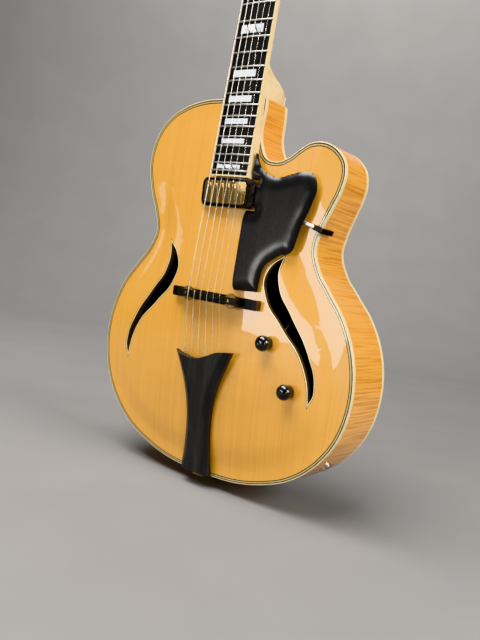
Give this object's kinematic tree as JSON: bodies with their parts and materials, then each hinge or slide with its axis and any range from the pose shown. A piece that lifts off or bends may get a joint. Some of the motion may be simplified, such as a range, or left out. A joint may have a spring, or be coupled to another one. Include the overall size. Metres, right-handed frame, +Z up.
{
  "type": "archtop guitar",
  "caption": "Hollow-body archtop electric guitar with arched spruce top, sickle sound holes, rounded cutaway, floating pickguard, adjustable bridge, tailpiece and pickup.",
  "frame": {"origin": "on the centre line where the end pin leaves the tail of the rim, half way through the rim's depth there", "axes": "+Z up the neck, +X to the treble side, +Y from the front of the body to its back"},
  "size_m": [0.4364, 0.1258, 1.0456],
  "materials": {
    "spruce": "gloss amber lacquer over straight-grained spruce",
    "flamed_maple": "gloss orange-amber lacquer over flamed maple",
    "neck_maple": "satin pale maple",
    "raw_spruce": "bare wood inside the body",
    "raw_maple": "bare wood inside the body",
    "ebony": "satin, close grained",
    "cream_binding": "gloss",
    "black_fibre": "gloss",
    "pearl": "polished pearl",
    "bone": "polished bone",
    "gold_plate": "polished gold plate",
    "steel": "plain steel",
    "fret_wire": "polished nickel silver",
    "bright_rod": "polished",
    "black_steel": "blackened",
    "jack_nickel": "polished nickel",
    "wound_string": "flat-wound nickel steel",
    "plain_string": "plain steel wire",
    "coil_wax": "taped and waxed coils"
  },
  "bodies": {
    "guitar": {"top_plate": "spruce", "back_plate": "flamed_maple", "rim_sides": "flamed_maple", "top_binding": "cream_binding", "black_purfling": "black_fibre", "cream_purfling": "cream_binding", "back_binding": "cream_binding", "sound_hole_bindings": "cream_binding", "tone_bars": "raw_spruce", "neck_block": "raw_maple", "tail_block": "raw_maple", "linings": "raw_spruce", "neck": "neck_maple", "heel_cap": "ebony", "truss_rod": "steel", "fingerboard": "ebony", "fingerboard_binding": "cream_binding", "inlays": "pearl", "frets": "fret_wire", "nut": "bone", "head_veneer": "ebony", "truss_rod_cover": "ebony", "wood_screws": "gold_plate", "tuner_housings": "gold_plate", "tuner_bushings": "gold_plate", "bridge_base": "ebony", "bridge_posts": "gold_plate", "tailpiece": "ebony", "tail_hanger": "gold_plate", "end_pin": "ebony", "pickup_ring": "ebony", "pickguard": "ebony", "guard_rod": "bright_rod", "guard_clamp": "black_steel", "control_harness": "steel", "output_jack": "jack_nickel", "wound_strings": "wound_string", "plain_strings": "plain_string"},
    "saddle": {"bridge_saddle": "ebony"},
    "wheel_bass": {"thumbwheel_bass": "gold_plate"},
    "wheel_treble": {"thumbwheel_treble": "gold_plate"},
    "pickup": {"pickup_cover": "gold_plate", "pickup_core": "coil_wax", "pole_screws": "gold_plate"},
    "height_screw_bass": {"height_screw_bass": "black_steel"},
    "height_screw_treble": {"height_screw_treble": "black_steel"},
    "volume_knob": {"knob_volume": "ebony"},
    "tone_knob": {"knob_tone": "ebony"},
    "tuner_button_1": {"tuner_button_1": "ebony"},
    "tuner_post_1": {"tuner_post_1": "gold_plate"},
    "tuner_button_2": {"tuner_button_2": "ebony"},
    "tuner_post_2": {"tuner_post_2": "gold_plate"},
    "tuner_button_3": {"tuner_button_3": "ebony"},
    "tuner_post_3": {"tuner_post_3": "gold_plate"},
    "tuner_button_4": {"tuner_button_4": "ebony"},
    "tuner_post_4": {"tuner_post_4": "gold_plate"},
    "tuner_button_5": {"tuner_button_5": "ebony"},
    "tuner_post_5": {"tuner_post_5": "gold_plate"},
    "tuner_button_6": {"tuner_button_6": "ebony"},
    "tuner_post_6": {"tuner_post_6": "gold_plate"}
  },
  "joints": [
    {"name": "saddle_lift", "type": "slide", "parent": "guitar", "child": "saddle", "axis": [0, -1, 0], "range_m": [-0.0015, 0.003], "deforming": ["wound_strings", "plain_strings"]},
    {"name": "wheel_bass_turn", "type": "hinge", "parent": "saddle", "child": "wheel_bass", "pos_m": [-0.037, -0.06055, 0.2406], "axis": [0, -1, 0], "range_deg": [-800, 1600]},
    {"name": "wheel_treble_turn", "type": "hinge", "parent": "saddle", "child": "wheel_treble", "pos_m": [0.037, -0.06055, 0.2406], "axis": [0, -1, 0], "range_deg": [-800, 1600]},
    {"name": "height_screw_bass_turn", "type": "hinge", "parent": "guitar", "child": "height_screw_bass", "pos_m": [-0.039, -0.05275, 0.371], "axis": [0, -1, 0], "range_deg": [-1300, 1300]},
    {"name": "height_screw_treble_turn", "type": "hinge", "parent": "guitar", "child": "height_screw_treble", "pos_m": [0.039, -0.05275, 0.371], "axis": [0, -1, 0], "range_deg": [-1300, 1300]},
    {"name": "pickup_height", "type": "slide", "parent": "guitar", "child": "pickup", "axis": [0, -1, 0], "range_m": [-0.0015, 0.0015]},
    {"name": "volume_turn", "type": "hinge", "parent": "guitar", "child": "volume_knob", "pos_m": [0.095, -0.05825, 0.198], "axis": [0, -1, 0], "range_deg": [-150, 150]},
    {"name": "tone_turn", "type": "hinge", "parent": "guitar", "child": "tone_knob", "pos_m": [0.135, -0.05825, 0.1455], "axis": [0, -1, 0], "range_deg": [-150, 150]},
    {"name": "tuner_1_button", "type": "hinge", "parent": "guitar", "child": "tuner_button_1", "pos_m": [-0.028, 0.01687, 0.90204], "axis": [-1, 0, 0], "continuous": true},
    {"name": "tuner_1_post", "type": "hinge", "parent": "guitar", "child": "tuner_post_1", "pos_m": [-0.028, -0.00224, 0.91594], "axis": [0, -0.9495, 0.3137], "continuous": true},
    {"name": "tuner_2_button", "type": "hinge", "parent": "guitar", "child": "tuner_button_2", "pos_m": [-0.027, 0.02879, 0.93813], "axis": [-1, 0, 0], "continuous": true},
    {"name": "tuner_2_post", "type": "hinge", "parent": "guitar", "child": "tuner_post_2", "pos_m": [-0.027, 0.00968, 0.95202], "axis": [0, -0.9495, 0.3137], "continuous": true},
    {"name": "tuner_3_button", "type": "hinge", "parent": "guitar", "child": "tuner_button_3", "pos_m": [-0.026, 0.0407, 0.97421], "axis": [-1, 0, 0], "continuous": true},
    {"name": "tuner_3_post", "type": "hinge", "parent": "guitar", "child": "tuner_post_3", "pos_m": [-0.026, 0.0216, 0.9881], "axis": [0, -0.9495, 0.3137], "continuous": true},
    {"name": "tuner_4_button", "type": "hinge", "parent": "guitar", "child": "tuner_button_4", "pos_m": [0.026, 0.0407, 0.97421], "axis": [1, 0, 0], "continuous": true},
    {"name": "tuner_4_post", "type": "hinge", "parent": "guitar", "child": "tuner_post_4", "pos_m": [0.026, 0.0216, 0.9881], "axis": [0, -0.9495, 0.3137], "continuous": true},
    {"name": "tuner_5_button", "type": "hinge", "parent": "guitar", "child": "tuner_button_5", "pos_m": [0.027, 0.02879, 0.93813], "axis": [1, 0, 0], "continuous": true},
    {"name": "tuner_5_post", "type": "hinge", "parent": "guitar", "child": "tuner_post_5", "pos_m": [0.027, 0.00968, 0.95202], "axis": [0, -0.9495, 0.3137], "continuous": true},
    {"name": "tuner_6_button", "type": "hinge", "parent": "guitar", "child": "tuner_button_6", "pos_m": [0.028, 0.01687, 0.90204], "axis": [1, 0, 0], "continuous": true},
    {"name": "tuner_6_post", "type": "hinge", "parent": "guitar", "child": "tuner_post_6", "pos_m": [0.028, -0.00224, 0.91594], "axis": [0, -0.9495, 0.3137], "continuous": true}
  ],
  "couplings": [
    {"joint": "wheel_bass_turn", "follows": "saddle_lift", "rad_per_m": 8976},
    {"joint": "wheel_treble_turn", "follows": "saddle_lift", "rad_per_m": 8976},
    {"joint": "height_screw_bass_turn", "follows": "pickup_height", "rad_per_m": -12566},
    {"joint": "height_screw_treble_turn", "follows": "pickup_height", "rad_per_m": -12566},
    {"joint": "tuner_1_post", "follows": "tuner_1_button", "ratio": -0.055556},
    {"joint": "tuner_2_post", "follows": "tuner_2_button", "ratio": -0.055556},
    {"joint": "tuner_3_post", "follows": "tuner_3_button", "ratio": -0.055556},
    {"joint": "tuner_4_post", "follows": "tuner_4_button", "ratio": 0.055556},
    {"joint": "tuner_5_post", "follows": "tuner_5_button", "ratio": 0.055556},
    {"joint": "tuner_6_post", "follows": "tuner_6_button", "ratio": 0.055556}
  ]
}
